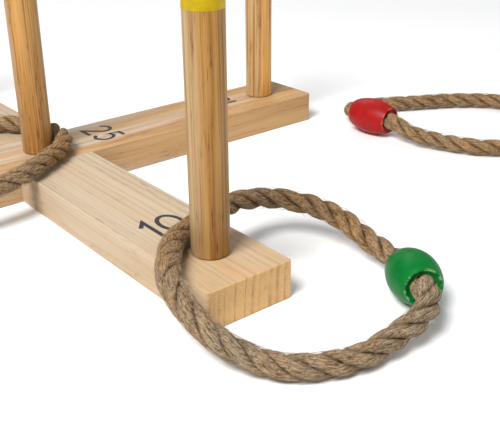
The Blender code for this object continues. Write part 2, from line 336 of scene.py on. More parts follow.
def noise(tree, place, scale, detail, **more):
    """Noise of this many marks to the metre. more holds the node's other inputs, by name."""
    inputs = {"Vector": place, "Scale": scale, "Detail": detail}
    return node(tree, "TexNoise", {**inputs, **more}).outputs[0]


def object_place(tree):
    return node(tree, "TexCoord").outputs["Object"]


def attribute(tree, name, output):
    return node(tree, "Attribute", attribute_name=name).outputs[output]


def fade(tree, place, axis, limits, full):
    """A value that grows from 0 to full as the place goes from one limit to the other along an axis."""
    position = node(tree, "SeparateXYZ", {0: place}).outputs[axis]
    return node(tree, "MapRange", {0: position, 1: limits[0], 2: limits[1], 3: 0.0, 4: full}).outputs[0]


def new_material(name, roughness=0.5, metallic=0.0):
    material = bpy.data.materials.new(name)
    material.use_nodes = True
    tree = material.node_tree
    shader = tree.nodes["Principled BSDF"]
    shader.inputs["Roughness"].default_value = roughness
    shader.inputs["Metallic"].default_value = metallic
    return material, tree, shader


def bump(tree, shader, height, distance):
    made = node(tree, "Bump", {"Height": height, "Distance": distance, "Strength": 1.0})
    tree.links.new(made.outputs[0], shader.inputs["Normal"])


# ---- materials


def wood_material(name, turn, pith, light, dark, patch, end, ring_gap, wobble, weights,
                  warm_end=None, painted_sheen_side=None, local=False, roughness=0.5):
    """Wood with growth rings about a pith line.

    turn brings the grain to X, and pith is then the line's (y, z). The colours are those of the early wood,
    the late wood, the patches and the end grain, and weights says how strong each kind of mark is. warm_end
    is where along the grain the patch colour starts to grow and where it is full. The side limits do the same
    across the grain, as a painted sheen that lays the patch colour on one side of a peg. A local wood
    reads its place, and a painted light scale for its colour, from the piece's own attributes.
    """
    material, tree, shader = new_material(name, roughness)
    shader.inputs["Specular IOR Level"].default_value = 0.2
    coordinates = node(tree, "TexCoord")
    source = attribute(tree, "grain", "Vector") if local else coordinates.outputs["Object"]
    place = node(tree, "Mapping", {"Vector": source, "Rotation": turn, "Location": (0.0, *pith)}).outputs[0]
    sway_place = node(tree, "Mapping", {"Vector": place, "Scale": (5.0, 22.0, 22.0)}).outputs[0]
    sway = node(tree, "TexNoise", {"Vector": sway_place, "Scale": 1.0, "Detail": 2.0}).outputs["Color"]
    bend = {0: sway, 1: (0.0, wobble, wobble), 2: place}
    bent = node(tree, "VectorMath", bend, operation="MULTIPLY_ADD").outputs[0]
    flat = node(tree, "VectorMath", {0: bent, 1: (0.0, 1.0, 1.0)}, operation="MULTIPLY").outputs[0]
    distance = node(tree, "VectorMath", {0: flat}, operation="LENGTH").outputs["Value"]
    count = calc(tree, "DIVIDE", distance, ring_gap)
    uneven = node(tree, "TexNoise", {"W": count, "Scale": 0.9, "Detail": 2.0}, noise_dimensions="1D")
    count = calc(tree, "ADD", count, calc(tree, "MULTIPLY", uneven.outputs[0], 1.6))
    year = calc(tree, "FRACT", count)
    late = ramp(tree, year, (0.0, 0.2), (0.08, 0.0), (0.66, 0.08), (0.90, 1.0), (0.98, 0.4))
    faint = ramp(tree, grain_noise(tree, bent, 9.0, 70.0, 2.0), (0.32, 0.10), (0.64, 1.0))
    late = calc(tree, "MULTIPLY", late, faint)
    streak = ramp(tree, grain_noise(tree, bent, 9.0, 900.0, 4.0, 0.6), (0.38, 0.0), (0.66, 1.0))
    cloud = ramp(tree, grain_noise(tree, bent, 6.0, 90.0, 3.0), (0.34, 0.0), (0.68, 1.0))
    shade = calc(tree, "MULTIPLY", late, weights["ring"])
    shade = calc(tree, "ADD", shade, calc(tree, "MULTIPLY", streak, weights["streak"]))
    shade = calc(tree, "ADD", shade, calc(tree, "MULTIPLY", cloud, weights["cloud"]), clamp=True)
    spread = ramp(tree, grain_noise(tree, bent, 3.0, 42.0, 2.0), (0.42, 0.0), (0.60, 1.0))
    spread = calc(tree, "MULTIPLY", spread, weights["patch"])
    # The warm end grows the patch colour along the grain. The side limits lay it across the grain as a
    # painted sheen on one side of a peg.
    for limits, position, axis, full in ((warm_end, place, 0, 0.8), (painted_sheen_side, bent, 1, 0.9)):
        if limits is not None:
            reach = fade(tree, position, axis, limits, full)
            spread = calc(tree, "ADD", spread, reach, clamp=True)
    base = mixed(tree, spread, light, patch)
    grain_way = node(tree, "Mapping", {"Vector": coordinates.outputs["Normal"], "Rotation": turn}).outputs[0]
    across_cut = calc(tree, "ABSOLUTE", node(tree, "SeparateXYZ", {0: grain_way}).outputs[0])
    end_face = ramp(tree, across_cut, (0.55, 0.0), (0.85, 1.0))
    base = mixed(tree, end_face, base, end)
    end_rings = calc(tree, "MULTIPLY", calc(tree, "MULTIPLY", late, end_face), 0.4)
    shade = calc(tree, "ADD", shade, end_rings, clamp=True)
    colour = mixed(tree, shade, base, dark)
    band = ramp(tree, grain_noise(tree, bent, 5.0, 480.0, 3.0, 0.6), (0.54, 0.0), (0.66, 1.0))
    colour = mixed(tree, calc(tree, "MULTIPLY", band, weights["band"]), colour, dark)
    fleck = ramp(tree, grain_noise(tree, bent, 80.0, 1300.0, 2.0, 0.5), (0.60, 0.0), (0.68, 1.0))
    fleck = calc(tree, "MULTIPLY", fleck, ramp(tree, calc(tree, "ADD", late, cloud), (0.45, 0.0), (1.0, 1.0)))
    deep = tuple(c * 0.38 for c in dark)
    colour = mixed(tree, calc(tree, "MULTIPLY", fleck, weights["fleck"]), colour, deep)
    # A peg's wood colour is scaled by its painted light.
    if local:
        painted_light_scale = attribute(tree, "painted_light_scale", "Fac")
        colour = node(tree, "VectorMath", {0: colour, "Scale": painted_light_scale}, operation="SCALE").outputs[0]
    tree.links.new(colour, shader.inputs["Base Color"])
    gloss = node(tree, "Math", {0: streak, 1: 0.10, 2: roughness - 0.05}, operation="MULTIPLY_ADD").outputs[0]
    tree.links.new(gloss, shader.inputs["Roughness"])
    relief = calc(tree, "SUBTRACT", late, calc(tree, "ADD", calc(tree, "MULTIPLY", streak, 0.5), fleck))
    bump(tree, shader, relief, 0.00005)
    return material


def paint_material(name, colour, wear):
    """Satin paint, mottled, and rubbed pale along the rims where the piece's "rub" attribute is above 0."""
    material, tree, shader = new_material(name, 0.40)
    shader.inputs["Specular IOR Level"].default_value = 0.14
    place = object_place(tree)
    mottle = noise(tree, place, 190.0, 4.0)
    pale = tuple(min(1.0, c + more) for c, more in zip(colour, (0.20, 0.27, 0.13)))
    deep = tuple(c * 0.78 for c in colour)
    shade = mixed(tree, ramp(tree, mottle, (0.32, 0.0), (0.70, 1.0)), deep, colour)
    if wear > 0.0:
        rub = attribute(tree, "rub", "Fac")
        chips = noise(tree, place, 260.0, 5.0)
        amount = calc(tree, "MULTIPLY", rub, ramp(tree, chips, (0.50, 0.0), (0.57, wear)))
        shade = mixed(tree, amount, shade, pale)
    tree.links.new(shade, shader.inputs["Base Color"])
    bump(tree, shader, noise(tree, place, 600.0, 3.0), 0.00004)
    return material


def jute_material():
    """Twisted jute: fine fibres of uneven colour, with painted shade in the cracks between fibres and in the
    grooves between the strands, and a painted highlight that pales the front stretch.
    """
    material, tree, shader = new_material("jute", 0.92)
    place = object_place(tree)
    depth = attribute(tree, "depth", "Fac")
    fibre = attribute(tree, "fibre", "Vector")
    fine = noise(tree, fibre, 1.0, 5.0, Roughness=0.7)
    fine = ramp(tree, fine, (0.36, 0.0), (0.50, 0.58), (0.64, 1.0))
    # Cracks between the fibres: sunk by the bump, and darkened towards near-black brown as painted shade.
    shaded_cracks = noise(tree, fibre, 0.62, 3.0, Distortion=0.6)
    shaded_cracks = ramp(tree, shaded_cracks, (0.34, 1.0), (0.43, 0.0))
    stubble = noise(tree, place, 850.0, 3.0, Roughness=0.6)
    fine = calc(tree, "ADD", fine, ramp(tree, stubble, (0.36, 0.0), (0.64, 0.48)))
    fine = calc(tree, "SUBTRACT", fine, 0.26, clamp=True)
    patch = ramp(tree, noise(tree, place, 30.0, 3.0), (0.38, 0.0), (0.62, 0.8))
    # Painted highlight: the rope turns paler and greyer towards its front stretch, where Y falls below -0.21.
    front_highlight = fade(tree, place, 1, (-0.21, -0.31), 0.8)
    patch = calc(tree, "ADD", calc(tree, "SUBTRACT", patch, 0.3), front_highlight, clamp=True)
    warm = mixed(tree, fine, (0.130, 0.067, 0.024), (0.52, 0.315, 0.148))
    grey = mixed(tree, fine, (0.105, 0.072, 0.038), (0.485, 0.365, 0.242))
    colour = mixed(tree, patch, warm, grey)
    colour = mixed(tree, calc(tree, "MULTIPLY", shaded_cracks, 0.7), colour, (0.075, 0.042, 0.017))
    # Painted shade: the colour darkens towards deep brown in the grooves between the strands, where the
    # surface lies close to the rope's axis.
    colour = mixed(tree, ramp(tree, depth, (0.76, 0.50), (0.90, 0.0)), colour, (0.11, 0.058, 0.022))
    tree.links.new(colour, shader.inputs["Base Color"])
    shader.inputs["Specular IOR Level"].default_value = 0.1
    bump(tree, shader, calc(tree, "SUBTRACT", fine, shaded_cracks), 0.00035)
    return material


def hair_material():
    material, tree, shader = new_material("jute_fibres", 0.8)
    vary = noise(tree, object_place(tree), 400.0, 2.0)
    dark, pale = (0.20, 0.13, 0.07), (0.58, 0.46, 0.32)
    colour = mixed(tree, ramp(tree, vary, (0.35, 0.0), (0.65, 1.0)), dark, pale)
    tree.links.new(colour, shader.inputs["Base Color"])
    return material


def metal_material(name, colour, roughness):
    material, tree, shader = new_material(name, roughness, 1.0)
    cloud = noise(tree, object_place(tree), 500.0, 4.0)
    worn = tuple(c * 0.7 for c in colour)
    tree.links.new(mixed(tree, cloud, worn, colour), shader.inputs["Base Color"])
    bump(tree, shader, cloud, 0.00003)
    return material


def ink_material():
    """Matt printing ink, thin enough for the grain to show in it."""
    material, tree, shader = new_material("number_ink", 0.6)
    grain = ramp(tree, grain_noise(tree, object_place(tree), 900.0, 900.0), (0.45, 0.0), (0.75, 1.0))
    colour = mixed(tree, grain, (0.009, 0.010, 0.013), (0.035, 0.035, 0.036))
    tree.links.new(colour, shader.inputs["Base Color"])
    return material


# ---- mesh helpers


def linked(name, data):
    """A new object in the scene."""
    obj = bpy.data.objects.new(name, data)
    bpy.context.scene.collection.objects.link(obj)
    return obj


def new_mesh(name, verts, faces):
    mesh = bpy.data.meshes.new(name)
    mesh.from_pydata([tuple(v) for v in verts], [], faces)
    return mesh


def smoothed(mesh, angle):
    """Smooth shading, but for edges sharper than the angle in degrees."""
    mesh.shade_smooth()
    mesh.set_sharp_from_angle(angle=math.radians(angle))


def add_mesh(name, verts, faces, material, body, smooth_angle):
    """A mesh object in the frame's axes that rides on a body."""
    mesh = new_mesh(name, verts, faces)
    mesh.materials.append(material)
    smoothed(mesh, smooth_angle)
    obj = linked(name, mesh)
    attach(obj, body)
    return obj


def add_values(obj, name, values):
    """A number for each of a mesh's points, which its material can read."""
    attribute = obj.data.attributes.new(name, "FLOAT", "POINT")
    attribute.data.foreach_set("value", np.asarray(values, np.float32))


def add_vectors(obj, name, values):
    attribute = obj.data.attributes.new(name, "FLOAT_VECTOR", "POINT")
    attribute.data.foreach_set("vector", np.asarray(values, np.float32).ravel())


def grid_faces(rows, columns, ends="open"):
    """Quads between rows of points, each a closed loop. The ends are open, capped or joined together."""
    faces = []
    for i in range(rows if ends == "joined" else rows - 1):
        low, high = i * columns, (i + 1) % rows * columns
        for j in range(columns):
            k = (j + 1) % columns
            faces.append((low + j, low + k, high + k, high + j))
    if ends == "capped":
        faces.append(tuple(reversed(range(columns))))
        faces.append(tuple((rows - 1) * columns + j for j in range(columns)))
    return faces


def circle(radius, height, steps):
    angles = [2 * math.pi * j / steps for j in range(steps)]
    return [(radius * math.cos(angle), radius * math.sin(angle), height) for angle in angles]


def turned(profile, steps):
    """Points and faces of a solid turned about Z from an outline of (radius, height), bottom to top."""
    verts, rows = [], []
    for radius, height in profile:
        start = len(verts)
        verts += [(0.0, 0.0, height)] if radius == 0.0 else circle(radius, height, steps)
        rows.append(range(start, len(verts)))
    pairs = list(zip(rows, rows[1:]))
    if len(rows[0]) > 1 and len(rows[-1]) > 1:
        pairs.append((rows[-1], rows[0]))
    faces = []
    for low, high in pairs:
        for j in range(steps):
            k = (j + 1) % steps
            if len(low) == 1:
                faces.append((low[0], high[k], high[j]))
            elif len(high) == 1:
                faces.append((low[j], low[k], high[0]))
            else:
                faces.append((low[j], low[k], high[k], high[j]))
    return verts, faces


def oval(centre, radii, start, end, steps):
    """Points (x, y) of a stretch of an ellipse, from one angle in degrees to another."""
    points = []
    for i in range(steps + 1):
        angle = math.radians(start + (end - start) * i / steps)
        points.append((centre[0] + radii[0] * math.cos(angle), centre[1] + radii[1] * math.sin(angle)))
    return points


def arc(centre, radius, start, end, steps):
    return oval(centre, (radius, radius), start, end, steps)


def moved(verts, place):
    return [(x + place[0], y + place[1], z + place[2]) for x, y, z in verts]


# ---- camera, floor and light


def make_camera():
    azimuth, elevation, roll = (math.radians(a) for a in (CAMERA_AZIMUTH, CAMERA_ELEVATION, CAMERA_ROLL))
    level = math.cos(elevation)
    forward = Vector((math.sin(azimuth) * level, math.cos(azimuth) * level, -math.sin(elevation)))
    side = forward.cross(Vector((0.0, 0.0, 1.0))).normalized()
    upright = side.cross(forward)
    right = side * math.cos(roll) + upright * math.sin(roll)
    up = upright * math.cos(roll) - side * math.sin(roll)
    data = bpy.data.cameras.new("camera")
    data.lens = CAMERA_LENS
    data.shift_x, data.shift_y = CAMERA_SHIFT
    data.clip_start = 0.01
    camera = linked("camera", data)
    turn = Matrix((right, up, -forward)).transposed().to_4x4()
    camera.matrix_world = Matrix.Translation(CAMERA_PLACE) @ turn
    bpy.context.scene.camera = camera


def add_light(name, place, size, energy, colour=(1.0, 1.0, 1.0), aim=(0.0, 0.0, 0.0)):
    data = bpy.data.lights.new(name, "AREA")
    data.shape = "DISK"
    data.size = size
    data.energy = energy
    data.color = colour
    light = linked(name, data)
    light.location = place
    light.rotation_euler = (Vector(aim) - Vector(place)).to_track_quat("-Z", "Y").to_euler()


def make_studio():
    """A wide white floor, a soft key light high on the left, two weaker lights and a white surround."""
    scene = bpy.context.scene
    scene.view_settings.view_transform = "Standard"
    material, _, shader = new_material("floor_white", 0.9)
    shader.inputs["Base Color"].default_value = (0.88, 0.885, 0.89, 1.0)
    shader.inputs["Specular IOR Level"].default_value = 0.1
    half = 4.0
    corners = [(-half, -half, 0.0), (half, -half, 0.0), (half, half, 0.0), (-half, half, 0.0)]
    mesh = new_mesh("floor", corners, [(0, 1, 2, 3)])
    mesh.materials.append(material)
    floor = linked("floor", mesh)
    world = bpy.data.worlds.new("surround")
    world.use_nodes = True
    background = world.node_tree.nodes["Background"]
    background.inputs["Color"].default_value = (0.97, 0.98, 1.0, 1.0)
    background.inputs["Strength"].default_value = 0.31
    scene.world = world
    add_light("key", (-1.08, -0.48, 1.50), 0.95, 52.0, (1.0, 0.99, 0.97))
    add_light("fill", (1.6, -1.2, 1.0), 1.6, 10.5)
    add_light("backdrop", (1.2, 1.9, 1.7), 1.4, 21.0, aim=(1.5, 2.1, 0.0))


# ---- ropes and beads


def ring_axis(ring):
    heading = math.radians(ring["heading"])
    tilt = math.radians(ring["tilt"])
    level = math.cos(tilt)
    return Vector((math.cos(heading) * level, math.sin(heading) * level, math.sin(tilt)))


def ring_guide_points(ring):
    """The route with the straight stretch through the bead at each end."""
    centre = Vector(ring["bead"])
    axis = ring_axis(ring)
    start = [centre + axis * station for station in BEAD_STATIONS]
    end = [centre - axis * station for station in reversed(BEAD_STATIONS)]
    return start + [Vector(point) for point in ring["route"]] + end


def smooth_curve(guides):
    """Points of a uniform cubic B-spline, from the second guide point to the last but one."""
    points = []
    for a, b, c, d in zip(guides, guides[1:], guides[2:], guides[3:]):
        for i in range(SPLINE_STEPS):
            t = i / SPLINE_STEPS
            weight_a = (1 - t) ** 3
            weight_b = 3 * t**3 - 6 * t**2 + 4
            weight_c = -3 * t**3 + 3 * t**2 + 3 * t + 1
            points.append((a * weight_a + b * weight_b + c * weight_c + d * t**3) / 6)
    points.append((guides[-3] + guides[-2] * 4 + guides[-1]) / 6)
    return points


class Rope:
    """A rope's centreline, with two directions across it that don't twist. Arrays have a row per step."""

    def __init__(self, curve, step):
        curve = np.array(curve)
        travelled = np.concatenate([[0.0], np.cumsum(np.linalg.norm(np.diff(curve, axis=0), axis=1))])
        self.length = float(travelled[-1])
        self.along = np.linspace(0.0, self.length, round(self.length / step) + 1)
        self.points = np.stack([np.interp(self.along, travelled, curve[:, k]) for k in range(3)], axis=1)
        tangents = np.gradient(self.points, axis=0)
        self.tangents = tangents / np.linalg.norm(tangents, axis=1)[:, None]
        normals = [np.cross(self.tangents[0], (0.0, 0.0, 1.0))]
        for tangent in self.tangents[1:]:
            normal = normals[-1] - tangent * (normals[-1] @ tangent)
            normals.append(normal / np.linalg.norm(normal))
        self.normals = np.array(normals)
        self.sides = np.cross(self.tangents, self.normals)

    def at(self, along, angle, radius):
        """Points at a distance along the rope, an angle round it and a radius from its axis."""
        row = [np.stack([np.interp(along, self.along, m[:, k]) for k in range(3)], axis=-1)
               for m in (self.points, self.normals, self.sides)]
        out = row[1] * np.cos(angle)[..., None] + row[2] * np.sin(angle)[..., None]
        return row[0] + out * radius[..., None]


def slow_wave(along, seed, period):
    """A smooth wandering value from -1 to 1 along the rope."""
    rng = random.Random(seed)
    phases = [rng.uniform(0.0, 2 * math.pi) for _ in range(3)]
    return sum(np.sin(2 * math.pi * along * k / period + p) / k for k, p in zip((1, 2, 3), phases)) / 1.83


def soft_relief(rng, down, round_, height, run, count):
    """Smooth random bumps: a row of them every run metres down the strand, and count of them round it."""
    rows = int(down.max() / run) + 2
    grid = rng.uniform(-1.0, 1.0, (rows, count))
    row = down / run
    column = (round_ / (2 * math.pi) * count) % count
    i, j = row.astype(int), column.astype(int) % count
    v, u = row - i, column - np.floor(column)
    v, u = v * v * (3 - 2 * v), u * u * (3 - 2 * u)
    k = (j + 1) % count
    near = grid[i, j] * (1 - u) + grid[i, k] * u
    far = grid[i + 1, j] * (1 - u) + grid[i + 1, k] * u
    return height * (near * (1 - v) + far * v)


def wool_along(rope):
    """How felted the rope is at each step, from 0 to 1."""
    return np.clip((WOOL_STARTS_X - rope.points[:, 0]) / WOOL_FADE, 0.0, 1.0)


def strand_section(crown_radius):
    """Distance from a strand's middle to its surface at each angle: a rounded third of the rope."""
    angle = 2 * np.pi * np.arange(STRAND_SIDES) / STRAND_SIDES
    offset = STRAND_MIDDLE + crown_radius - CROWN_REACH
    ahead = offset * np.cos(angle)
    crown = np.sqrt(ahead**2 + crown_radius**2 - offset**2) - ahead
    total = crown**-STRAND_SHARPNESS
    half = math.pi / STRANDS
    for side in (-1, 1):
        towards = side * np.sin(angle) * math.cos(half) - np.cos(angle) * math.sin(half)
        closing = np.maximum(towards, 1e-3)
        total += (STRAND_MIDDLE * math.sin(half) / closing) ** -STRAND_SHARPNESS
    return angle, total ** (-1 / STRAND_SHARPNESS)


def strand_arrays(rope, girth, index, seed):
    """One strand's points, how far out each lies and its place in the fibres: arrays of steps x sides."""
    rng = np.random.default_rng(seed * 10 + index)
    along = rope.along
    wool = wool_along(rope)[:, None]
    angle, crisp = strand_section(CROWN_RADIUS)
    felted = strand_section(FELTED_CROWN_RADIUS)[1]
    section = crisp + (felted - crisp) * wool
    turn = 2 * math.pi * (along / ROPE_LAY + index / STRANDS) + 0.22 * slow_wave(along, seed, 0.09)
    out = rope.normals * np.cos(turn)[:, None] + rope.sides * np.sin(turn)[:, None]
    across = np.cross(rope.tangents, out)
    yarn = angle[None, :] + 2 * np.pi * along[:, None] / YARN_LAY
    down = np.broadcast_to(along[:, None], yarn.shape)
    relief = sum(soft_relief(rng, down, yarn, *kind) for kind in (COARSE_RELIEF, FINE_RELIEF))
    swell = 1 - 0.035 * (1 + slow_wave(along, seed + 20 + index, 0.06))
    for mouth in (MOUTH_ALONG, rope.length - MOUTH_ALONG):
        swell += MOUTH_SWELL * np.exp(-(((along - mouth) / MOUTH_SWELL_REACH) ** 2))
    radius = section * swell[:, None] + np.minimum(relief * (1 + wool) - RELIEF_DROP, RELIEF_TOP)
    outward = girth * (STRAND_MIDDLE + radius * np.cos(angle))
    sideways = girth * radius * np.sin(angle)
    verts = rope.points[:, None, :] + out[:, None, :] * outward[..., None]
    verts = verts + across[:, None, :] * sideways[..., None]
    reach = np.hypot(outward, sideways) / (girth * ROPE_RADIUS)
    fibre = np.stack([down * 250.0, np.cos(yarn) * 6.5 + index * 17.0, np.sin(yarn) * 6.5], axis=-1)
    return verts, reach, fibre


def make_rope(colour, rope, material):
    """The rope's three strands in one piece. Its colour's name gives each ring random bumps of its own."""
    verts, reaches, fibres, faces = [], [], [], []
    steps = len(rope.along)
    for index in range(STRANDS):
        points, reach, fibre = strand_arrays(rope, RINGS[colour]["girth"], index, len(colour))
        start = len(verts) * steps * STRAND_SIDES
        verts.append(points)
        reaches.append(reach)
        fibres.append(fibre)
        for face in grid_faces(steps, STRAND_SIDES, "capped"):
            faces.append(tuple(start + i for i in face))
    points = np.concatenate([v.reshape(-1, 3) for v in verts])
    obj = add_mesh("twisted_rope_" + colour, points, faces, material, "ring_" + colour, 60.0)
    add_values(obj, "depth", np.concatenate([r.ravel() for r in reaches]))
    add_vectors(obj, "fibre", np.concatenate([f.reshape(-1, 3) for f in fibres]))
    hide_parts("rope_" + colour)
    return obj


def make_hairs(colour, rope, material, hidden):
    """Loose hairs along the rope that curl away from it. hidden is each end's length inside the bead."""
    rng = np.random.default_rng(len(colour))
    t = np.linspace(0.0, 1.0, HAIR_BENDS)[None, :]
    crowd = 1 + 2.0 * wool_along(rope)
    crowd[(rope.along < hidden) | (rope.along > rope.length - hidden)] = 0.0
    crowd = np.cumsum(crowd)
    start = np.interp(rng.uniform(0.0, crowd[-1], HAIRS), crowd, rope.along)[:, None]
    length = rng.uniform(*HAIR_LENGTH, HAIRS)[:, None] * rng.choice([-1.0, 1.0], HAIRS)[:, None]
    along = np.clip(start + length * t, hidden * 0.8, rope.length - hidden * 0.8)
    swing = rng.normal(0.0, 0.5, HAIRS)[:, None]
    curl = rng.normal(0.0, 0.35, HAIRS)[:, None]
    angle = rng.uniform(0.0, 2 * math.pi, HAIRS)[:, None] + swing * t + curl * t**2
    lift = rng.exponential(HAIR_LIFT, HAIRS).clip(*HAIR_LIFT_LIMITS)[:, None]
    wave = HAIR_WAVE * np.sin(3 * np.pi * t) * rng.uniform(0, 1, HAIRS)[:, None]
    root = ROPE_RADIUS * HAIR_ROOT_SHARE * RINGS[colour]["girth"]
    line = rope.at(along, angle, root + lift * t**1.5 + wave)
    line[..., 2] = np.maximum(line[..., 2], HAIR_FLOOR)

    # A hair that would reach into a peg is left out
    clear = np.ones(HAIRS, bool)
    for details in PEGS.values():
        off_axis = np.hypot(line[..., 0] - details["place"][0], line[..., 1] - details["place"][1])
        clear &= off_axis.min(axis=1) > PEG_RADIUS + GAP
    line = line[clear]
    kept = len(line)

    heading = np.gradient(line, axis=1)
    heading /= np.linalg.norm(heading, axis=2)[..., None] + 1e-12
    one = np.cross(heading, np.array([0.31, 0.47, 0.83]))
    one /= np.linalg.norm(one, axis=2)[..., None] + 1e-12
    two = np.cross(heading, one)
    thick = rng.uniform(*HAIR_THICKNESS, kept)[:, None] * (1 - 0.75 * t)
    verts = []
    for j in range(HAIR_SIDES):
        turn = 2 * math.pi * j / HAIR_SIDES
        verts.append(line + (one * math.cos(turn) + two * math.sin(turn)) * thick[..., None])
    points = np.stack(verts, axis=2).reshape(-1, 3)
    hair = grid_faces(HAIR_BENDS, HAIR_SIDES, "capped")
    size = HAIR_BENDS * HAIR_SIDES
    faces = [tuple(i + k * size for i in face) for k in range(kept) for face in hair]
    return add_mesh("rope_hairs_" + colour, points, faces, material, "ring_" + colour, 180.0)


def bead_profile():
    """Outline of (radius, height) up the outside, in through the mouth, down the bore and out again."""
    flat = BEAD_HALF_LENGTH - BEAD_RIM_RADIUS
    points = []
    for i in range(-BEAD_SIDE_STEPS, BEAD_SIDE_STEPS + 1):
        share = i / BEAD_SIDE_STEPS
        bulge = math.cos(share * math.pi / 2) ** BEAD_FULLNESS
        points.append((BEAD_END_RADIUS + (BEAD_RADIUS - BEAD_END_RADIUS) * bulge, share * flat))
    rim = BEAD_RIM_RADIUS
    top = arc((BEAD_END_RADIUS - rim, flat), rim, 0, 90, 5)[1:]
    top += arc((BEAD_MOUTH_RADIUS, flat + rim - BEAD_LIP_RADIUS), BEAD_LIP_RADIUS, 90, 135, 3)
    for i in range(1, MOUTH_STEPS + 1):
        share = i / MOUTH_STEPS
        sag = BEAD_MOUTH_SAG * math.sin(math.pi * share)
        radius = BEAD_MOUTH_RADIUS + (SNUG_BORE_RADIUS - BEAD_MOUTH_RADIUS) * share
        top.append((radius + sag, BEAD_HALF_LENGTH - BEAD_MOUTH_DEPTH * share - sag))
    deep = BEAD_HALF_LENGTH - BEAD_MOUTH_DEPTH
    bore = [(SNUG_BORE_RADIUS, deep * share) for share in (2 / 3, 1 / 3, 0.0, -1 / 3, -2 / 3)]
    bottom = [(radius, -height) for radius, height in reversed(top)]
    return points + top + bore + bottom


def make_bead(colour, material):
    ring = RINGS[colour]
    verts, faces = turned(bead_profile(), BEAD_ROUND_STEPS)
    place = (
        Matrix.Translation(ring["bead"])
        @ Matrix.Rotation(math.radians(ring["heading"]), 4, "Z")
        @ Matrix.Rotation(math.radians(90 - ring["tilt"]), 4, "Y")
        @ Matrix.Translation((0.0, 0.0, ring["bead_shift"]))
        @ Matrix.Diagonal((1.0, 1.0, ring["bead_stretch"], 1.0))
    )
    placed = [place @ Vector(v) for v in verts]
    name = "painted_bead_" + colour
    obj = add_mesh(name, placed, faces, material, "ring_" + colour, 50.0)
    rub = []
    for x, y, z in verts:
        lip = math.hypot(math.hypot(x, y) - BEAD_MOUTH_RADIUS, abs(z) - BEAD_HALF_LENGTH)
        rub.append(max(0.0, 1 - lip / RUB_WIDTH))
    add_values(obj, "rub", rub)
    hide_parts("bead_" + colour)
    return obj


def make_rings(jute, hair):
    for colour, ring in RINGS.items():
        rope = Rope(smooth_curve(ring_guide_points(ring)), STRAND_STEP)
        twisted = make_rope(colour, rope, jute)
        hairs = make_hairs(colour, rope, hair, BEAD_HALF_LENGTH)
        bead = make_bead(colour, paint_material("bead_" + colour, PAINTS[colour], ring["wear"]))


# ---- boards


def applied(obj, name):
    """A new mesh of the object with its modifiers applied."""
    bpy.context.view_layer.update()
    evaluated = obj.evaluated_get(bpy.context.evaluated_depsgraph_get())
    mesh = bpy.data.meshes.new_from_object(evaluated)
    mesh.name = name
    return mesh


def round_cutter(radius, bottom, top, place):
    verts, faces = turned([(0.0, bottom), (radius, bottom), (radius, top), (0.0, top)], HOLE_STEPS)
    return linked("cutter", new_mesh("cutter", moved(verts, (*place, 0.0)), faces))


def box_cutter(low, high):
    (a, b, c), (d, e, f) = low, high
    verts = [(a, b, c), (d, b, c), (d, e, c), (a, e, c), (a, b, f), (d, b, f), (d, e, f), (a, e, f)]
    faces = [(3, 2, 1, 0), (4, 5, 6, 7), (0, 1, 5, 4), (1, 2, 6, 5), (2, 3, 7, 6), (3, 0, 4, 7)]
    return linked("cutter", new_mesh("cutter", verts, faces))


def board_blank(along_x, corner_radius):
    """A board with rounded end corners and eased edges, centred on the cross."""
    half_x = (BOARD_LENGTH if along_x else BOARD_WIDTH) / 2
    half_y = (BOARD_WIDTH if along_x else BOARD_LENGTH) / 2
    outline = []
    for sign_x, sign_y, start in ((1, 1, 0), (-1, 1, 90), (-1, -1, 180), (1, -1, 270)):
        centre = (sign_x * (half_x - corner_radius), sign_y * (half_y - corner_radius))
        outline += arc(centre, corner_radius, start, start + 90, 8)
    ease = BOARD_EDGE_RADIUS
    rows = []
    for turn in range(0, 91, 15):
        inward = ease * (1 - math.sin(math.radians(turn)))
        rows.append((inward, ease * (1 - math.cos(math.radians(turn)))))
    rows += [(inward, BOARD_THICKNESS - height) for inward, height in reversed(rows)]
    verts = []
    for inward, height in rows:
        for x, y in outline:
            cx = math.copysign(half_x - corner_radius, x)
            cy = math.copysign(half_y - corner_radius, y)
            share = (corner_radius - inward) / corner_radius
            verts.append((cx + (x - cx) * share, cy + (y - cy) * share, height))
    faces = grid_faces(len(rows), len(outline), "capped")
    return linked("blank", new_mesh("blank", verts, faces))


def make_board(name, blank, cutters, material, body):
    """A board cut by the cutters, as a piece in place of the frame's board."""
    for cutter in cutters:
        modifier = blank.modifiers.new("cut", "BOOLEAN")
        modifier.operation = "DIFFERENCE"
        modifier.solver = "EXACT"
        modifier.object = cutter
    mesh = applied(blank, name)
    for helper in [blank, *cutters]:
        bpy.data.objects.remove(helper, do_unlink=True)
    mesh.materials.clear()
    mesh.materials.append(material)
    smoothed(mesh, 40.0)
    shaped = linked("shaped", mesh)
    shaped.modifiers.new("normals", "WEIGHTED_NORMAL").keep_sharp = True
    finished = applied(shaped, name)
    bpy.data.objects.remove(shaped, do_unlink=True)
    obj = linked(name, finished)
    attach(obj, body)
    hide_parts(name.replace("_plank", "_board"))
    return obj


def insert_span(peg_name):
    """The bottom and top of the threaded insert that holds this peg."""
    if peg_name == "centre":
        top = LAP_HEIGHT - GAP - INSERT_CHAMFER
        return top - CENTRE_INSERT_LENGTH, top
    top = BOARD_THICKNESS - INSERT_DEPTH
    return top - INSERT_LENGTH, top


def stud_drop(peg_name):
    return CENTRE_STUD_BELOW_PEG if peg_name == "centre" else STUD_BELOW_PEG


def insert_hole(peg_name):
    bottom = min(insert_span(peg_name)[0], PEG_FOOT_Z - stud_drop(peg_name)) - HOLE_END_ROOM
    return round_cutter(INSERT_RADIUS + GAP, bottom, 2 * BOARD_THICKNESS, PEGS[peg_name]["place"])


